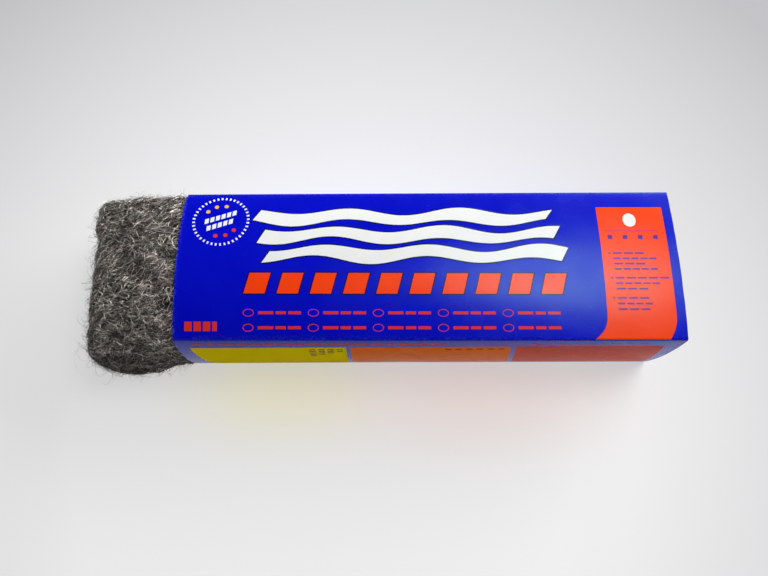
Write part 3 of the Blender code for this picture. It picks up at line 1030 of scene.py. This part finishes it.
class SleeveLook(bpy.types.PropertyGroup):
    sleeve_stations: IntProperty(
        name="Stations", description="Sections along the sleeve's length", default=61, min=8
    )
    blue: colour_of("Card blue", "Main colour of the printed card", (0.001, 0.003, 0.56))
    board: colour_of("Board", "Unprinted side and cut edges of the card", (0.62, 0.6, 0.56))
    white: colour_of("White", "White print", (0.88, 0.9, 0.88))
    orange: colour_of("Orange", "Orange print on the top", (1.0, 0.06, 0.004))
    red: colour_of("Red", "Small red print", (0.8, 0.035, 0.02))
    gold: colour_of("Gold", "Small gold dots", (0.95, 0.5, 0.02))
    violet: colour_of("Violet", "Dark marks on the orange field", (0.12, 0.02, 0.3))
    navy: colour_of("Navy", "Dark edges of the large marks", (0.002, 0.003, 0.09))
    yellow: colour_of("Yellow", "Yellow field of the near side", (1.0, 0.8, 0.006))
    side_orange: colour_of("Side orange", "Orange field of the near side", (1.0, 0.19, 0.003))
    side_red: colour_of("Side red", "Red field of the near side", (0.78, 0.08, 0.04))
    dark: colour_of("Dark", "Small dark marks of the near side", (0.06, 0.03, 0.08))


class WoolLook(bpy.types.PropertyGroup):
    strand_count: IntProperty(name="Strands", description="Strands in each layer", default=4400, min=1)
    strand_steps: IntProperty(name="Steps", description="Points along a strand", default=8, min=4)
    strand_length: length_of("Strand length", "Seen length of a strand", 17 * MM)
    strand_width: length_of("Strand width", "Thickness of a strand", 0.27 * MM)
    whisker_count: IntProperty(name="Whiskers", description="Loose ends", default=5200, min=1)
    whisker_length: length_of("Whisker length", "Length of a loose end", 7 * MM)
    whisker_lift: length_of("Whisker lift", "How far a loose end stands off", 4.8 * MM)
    whisker_width: length_of("Whisker width", "Thickness of a loose end", 0.17 * MM)
    core_depth: length_of("Core depth", "How deep the batt's body lies", 1.5 * MM)
    core_dark: colour_of("Core dark", "Deep shade between strands", (0.006, 0.005, 0.005))
    core_light: colour_of("Core light", "Lighter parts of the deep wool", (0.02, 0.018, 0.017))
    strand_dark: colour_of("Strand dark", "The darkest strands", (0.015, 0.013, 0.013))
    strand_light: colour_of("Strand light", "The brightest strands", (0.95, 0.9, 0.84))


class StageLook(bpy.types.PropertyGroup):
    floor_colour: colour_of("Floor", "Colour of the floor near the object", (0.97, 0.97, 0.975))
    floor_edge: colour_of("Floor edge", "Colour of the floor far away", (0.56, 0.56, 0.58))
    floor_lit: FloatProperty(name="Floor lit", description="Share of it seen as lit", default=0.36)
    floor_glow: FloatProperty(name="Floor glow", description="Share of it seen as glow", default=0.61)
    floor_bounce: FloatProperty(name="Bounce", description="Share of it that lights", default=0.75)
    lamp_power: FloatProperty(name="Lamp power", description="Soft lamp in watts", default=5)
    low_power: FloatProperty(name="Low power", description="Low lamp in watts", default=320)
    sky: FloatProperty(name="Walls", description="Strength of the light all round", default=0.85)
    ceiling: FloatProperty(name="Ceiling", description="Share of it from straight above", default=0.02)


# Operators


def finish_piece(piece, slot, *nodes):
    """Every piece rides on the one body, and may stand for frame nodes; its slot is not used."""
    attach(piece, "root")
    if nodes:
        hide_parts(*nodes)


class MakeSleeve(bpy.types.Operator):
    """Build the folded card sleeve"""

    bl_idname = "steelwool.sleeve"
    bl_label = "Card sleeve"

    def execute(self, context):
        finish_piece(sleeve_shell(context.scene.sleeve_look), "printed_card", "card_sleeve")
        return {"FINISHED"}


class MakePrint(bpy.types.Operator):
    """Print the sleeve's top and near side panels"""

    bl_idname = "steelwool.print"
    bl_label = "Print"

    def execute(self, context):
        look = context.scene.sleeve_look
        for piece in (top_print(look), side_print(look)):
            finish_piece(piece, "printed_card")
        return {"FINISHED"}


class MakeWoolCore(bpy.types.Operator):
    """Build the batt's body under the strands, dark as painted shade"""

    bl_idname = "steelwool.core"
    bl_label = "Wool core"

    def execute(self, context):
        core = core_mesh(context.scene.wool_look)
        finish_piece(core, "steel_wool", "wool_pad")
        return {"FINISHED"}


class MakeStrands(bpy.types.Operator):
    """Lay the strands of both ends, layer by layer"""

    bl_idname = "steelwool.strands"
    bl_label = "Strands"

    def execute(self, context):
        look = context.scene.wool_look
        count = look.strand_count
        layers = (
            ("wool_strands_1", free_end_starts, count, 11, (-1.5, -0.5), 1.0, 1.0),
            ("wool_strands_2", free_end_starts, count, 12, (-0.9, 0.0), 0.7, 1.0),
            ("wool_strands_3", free_end_starts, count, 13, (-0.4, 0.5), 0.5, 1.0),
            ("back_strands", back_starts, count * 2 // 3, 20, (-0.8, 0.6), 0.8, 0.6),
        )
        for name, *settings in layers:
            finish_piece(strand_piece(name, look, *settings), "steel_wool")
        return {"FINISHED"}


class MakeWhiskers(bpy.types.Operator):
    """Add the loose ends that stand off the wool"""

    bl_idname = "steelwool.whiskers"
    bl_label = "Whiskers"

    def execute(self, context):
        look = context.scene.wool_look
        finish_piece(whisker_piece(look, look.whisker_count, 30), "steel_wool")
        return {"FINISHED"}


class MakeStage(bpy.types.Operator):
    """Set the pale floor, the even light, the soft lamp and the camera"""

    bl_idname = "steelwool.stage"
    bl_label = "Stage"

    def execute(self, context):
        look = context.scene.stage_look
        floor(look)
        even_light(context.scene, look)
        soft_lamps(look)
        context.scene.camera = camera(context.scene)
        context.scene.view_settings.view_transform = "Standard"
        return {"FINISHED"}


class STEELWOOL_PT_pieces(bpy.types.Panel):
    """Lists the pieces in the order in which they are built"""

    bl_label = "Steel Wool Pad"
    bl_space_type = "VIEW_3D"
    bl_region_type = "UI"
    bl_category = "Steel Wool Pad"

    def draw(self, context):
        for maker in MAKERS:
            self.layout.operator(maker.bl_idname)


# Stage


def floor(look):
    """A round sheet under the object, paler in the middle as a painted pool of light, with the side
    panel's colours painted on it as bounced light.

    The camera, and what mirrors or refracts, see part of its colour as its own glow, so that the
    object's shadow stays but is lighter. For the light on the object it is plain pale card.
    """
    radius = np.array([0.0, 0.2, 0.6, 1.5, 4.0])[:, None]
    angle = np.linspace(0, 2 * math.pi, 48, endpoint=False)[None, :]
    x, y = radius * np.cos(angle), radius * np.sin(angle)
    points = np.stack([x, y, np.full_like(x, -0.2 * MM)], axis=2).reshape(-1, 3)
    material, tree, shader = new_material("floor")
    place = own_place(tree)
    # painted light: the floor is paler near the object and darker far off
    distance = put(tree, "VectorMath", {0: place, 1: FLOOR_CENTRE}, operation="DISTANCE")
    share = scaled(tree, distance.outputs["Value"], 0, 1, *FLOOR_FADE)
    colour = mix_colour(tree, share, (*look.floor_colour, 1), (*look.floor_edge, 1))
    # painted bounce light: the side panel's yellow and pink cast on the floor
    for tint, middle, narrowness in PAINTED_BOUNCE_CASTS:
        way = put(tree, "VectorMath", {0: place, 1: middle}, operation="SUBTRACT").outputs[0]
        way = put(tree, "VectorMath", {0: way, 1: narrowness}, operation="MULTIPLY").outputs[0]
        way = put(tree, "VectorMath", {0: way}, operation="LENGTH").outputs["Value"]
        fade = {"Value": way, "To Min": 1, "To Max": 0}
        fade = put(tree, "MapRange", fade, interpolation_type="SMOOTHSTEP").outputs["Result"]
        colour = mix_colour(tree, fade, colour, tinted(tree, colour, tint))
    ray = put(tree, "LightPath").outputs
    seen = combined(tree, "MAXIMUM", ray["Is Camera Ray"], ray["Is Glossy Ray"])
    seen = combined(tree, "MAXIMUM", seen, ray["Is Transmission Ray"])
    base = tinted(tree, colour, scaled(tree, seen, look.floor_bounce, look.floor_lit))
    glow = scaled(tree, seen, 0, look.floor_glow)
    connect(tree, shader, Base_Color=base, Emission_Color=colour, Emission_Strength=glow)
    shader.inputs["Specular IOR Level"].default_value = 0
    faces = grid_faces(radius.size, angle.size)
    return mesh_piece("floor", points, [faces], materials=[material])


def even_light(scene, look):
    """A pale studio: bright walls all round, fading to a dim ceiling that the varnish mirrors."""
    world = bpy.data.worlds.new("studio")
    world.use_nodes = True
    tree = world.node_tree
    way = put(tree, "TexCoord").outputs["Generated"]
    height = put(tree, "SeparateXYZ", {0: way}).outputs["Z"]
    share = scaled(tree, height, 0, 1, 0.1, 0.42)
    colour = mix_colour(tree, share, (0.98, 0.98, 1, 1), (*[look.ceiling] * 3, 1))
    shade = tree.nodes["Background"]
    tree.links.new(colour, shade.inputs["Color"])
    shade.inputs["Strength"].default_value = look.sky
    scene.world = world


def aimed(lamp, place, target):
    """Puts a lamp at its place and turns it to face the target."""
    lamp.location = place
    way = Vector(target) - Vector(place)
    lamp.rotation_euler = way.to_track_quat("-Z", "Y").to_euler()
    bpy.context.scene.collection.objects.link(lamp)


def soft_lamps(look):
    """A soft lamp whose sheen lies on the top panel's back half, and a low one from the far right.

    The low one stands too low for the top panel to mirror it to the camera.
    """
    for name, size, power, away, way in LAMPS:
        lamp = bpy.data.lights.new(name, "AREA")
        lamp.shape = "ELLIPSE"
        lamp.size, lamp.size_y = size
        lamp.energy = getattr(look, power)
        place = SHEEN_PLACE + away * np.array(way)
        aimed(bpy.data.objects.new(name, lamp), place, SHEEN_PLACE)


def camera(scene):
    """Above the near side, tilted to look a little away from it."""
    lens = bpy.data.cameras.new("camera")
    lens.lens = CAMERA_LENS
    lens.sensor_width = 36
    lens.clip_start, lens.clip_end = 0.01, 20
    eye = bpy.data.objects.new("camera", lens)
    eye.location = CAMERA_PLACE
    eye.rotation_euler = CAMERA_TURN
    scene.collection.objects.link(eye)
    return eye


MAKERS = (MakeSleeve, MakePrint, MakeWoolCore, MakeStrands, MakeWhiskers, MakeStage)
LOOKS = {"sleeve_look": SleeveLook, "wool_look": WoolLook, "stage_look": StageLook}


def register():
    for cls in (*LOOKS.values(), *MAKERS, STEELWOOL_PT_pieces):
        bpy.utils.register_class(cls)
    for name, cls in LOOKS.items():
        setattr(bpy.types.Scene, name, PointerProperty(type=cls))


def unregister():
    for name in LOOKS:
        delattr(bpy.types.Scene, name)
    for cls in (STEELWOOL_PT_pieces, *MAKERS, *LOOKS.values()):
        bpy.utils.unregister_class(cls)


def main():
    register()
    for name in ("sleeve", "print", "core", "strands", "whiskers", "stage"):
        getattr(bpy.ops.steelwool, name)()
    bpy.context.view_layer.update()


if __name__ == "__main__":
    main()
